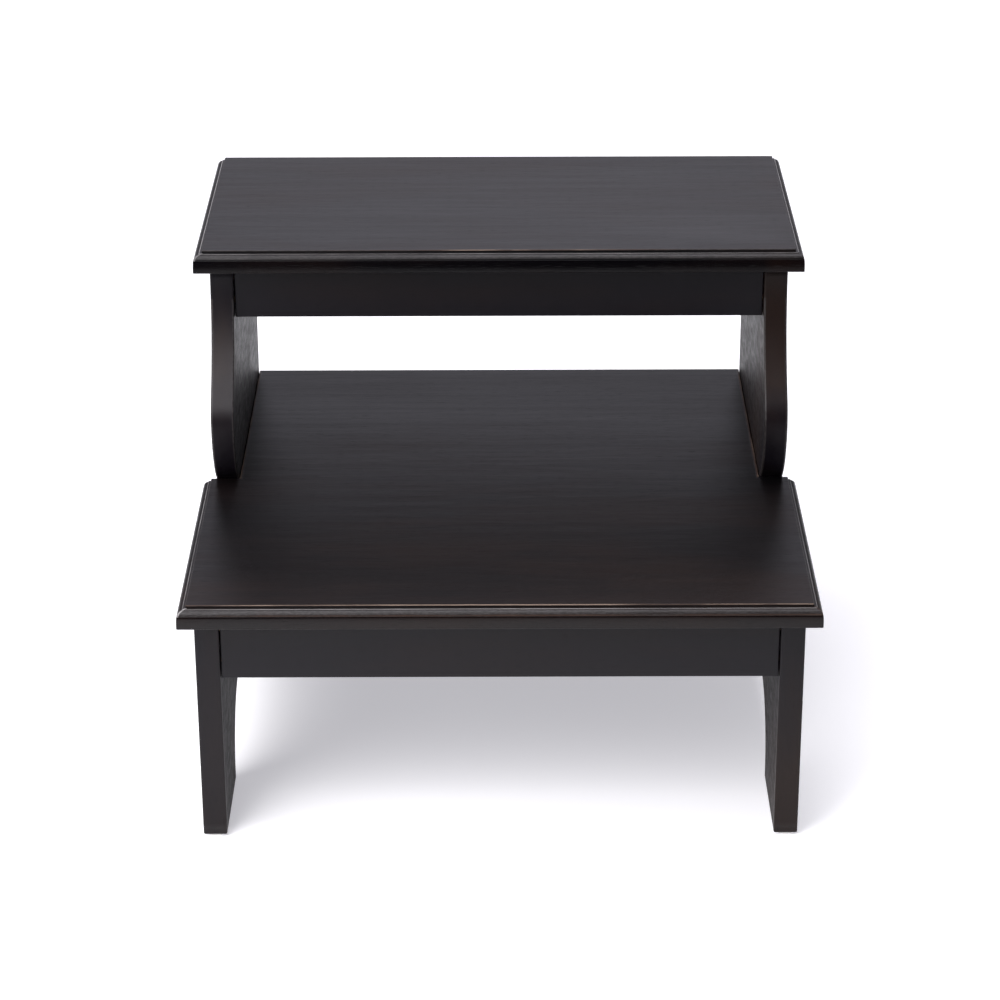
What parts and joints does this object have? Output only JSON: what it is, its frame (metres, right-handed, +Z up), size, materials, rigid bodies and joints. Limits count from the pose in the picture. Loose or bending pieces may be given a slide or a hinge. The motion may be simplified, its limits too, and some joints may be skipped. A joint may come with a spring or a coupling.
{
  "type": "step stool",
  "caption": "Dark-stained wooden step stool with moulded upper and lower treads between shaped side boards with an S-curved front edge and arched feet.",
  "frame": {"origin": "on the floor, under the middle of the stool's box, at the bottom of the glides", "axes": "+Z up, +X to the right seen from the front, the front with the lower tread faces -Y"},
  "size_m": [0.4814, 0.477, 0.4],
  "materials": {
    "stained_tread": "near-black stain under satin lacquer, fine long grain, stain worn thin on the sharp edges",
    "stained_frame": "near-black stain under satin lacquer with a red-brown cast, upright grain on the side boards",
    "stained_inside": "one thin coat of dark stain, matt",
    "bare_wood": "plain unstained hardwood",
    "screw_steel": "bright zinc plate",
    "glide_nylon": "plain white nylon"
  },
  "bodies": {
    "root": {"upper_tread": "stained_tread", "lower_tread": "stained_tread", "left_side_board": "stained_frame", "right_side_board": "stained_frame", "upper_front_rail": "stained_frame", "upper_back_rail": "stained_frame", "lower_front_rail": "stained_frame", "lower_back_rail": "stained_frame", "left_tread_cleat": "stained_inside", "right_tread_cleat": "stained_inside", "upper_front_left_block": "stained_inside", "upper_front_right_block": "stained_inside", "upper_back_left_block": "stained_inside", "upper_back_right_block": "stained_inside", "lower_front_left_block": "stained_inside", "lower_front_right_block": "stained_inside", "lower_back_left_block": "stained_inside", "lower_back_right_block": "stained_inside", "upper_front_rail_dowels": "bare_wood", "upper_back_rail_dowels": "bare_wood", "lower_front_rail_dowels": "bare_wood", "lower_back_rail_dowels": "bare_wood", "upper_tread_dowels": "bare_wood", "lower_tread_dowels": "bare_wood", "upper_block_frame_screws": "screw_steel", "upper_block_tread_screws": "screw_steel", "lower_block_frame_screws": "screw_steel", "lower_block_tread_screws": "screw_steel", "cleat_side_screws": "screw_steel", "cleat_tread_screws": "screw_steel", "front_left_glide": "glide_nylon", "front_right_glide": "glide_nylon", "back_left_glide": "glide_nylon", "back_right_glide": "glide_nylon", "glide_nails": "screw_steel"}
  },
  "joints": []
}
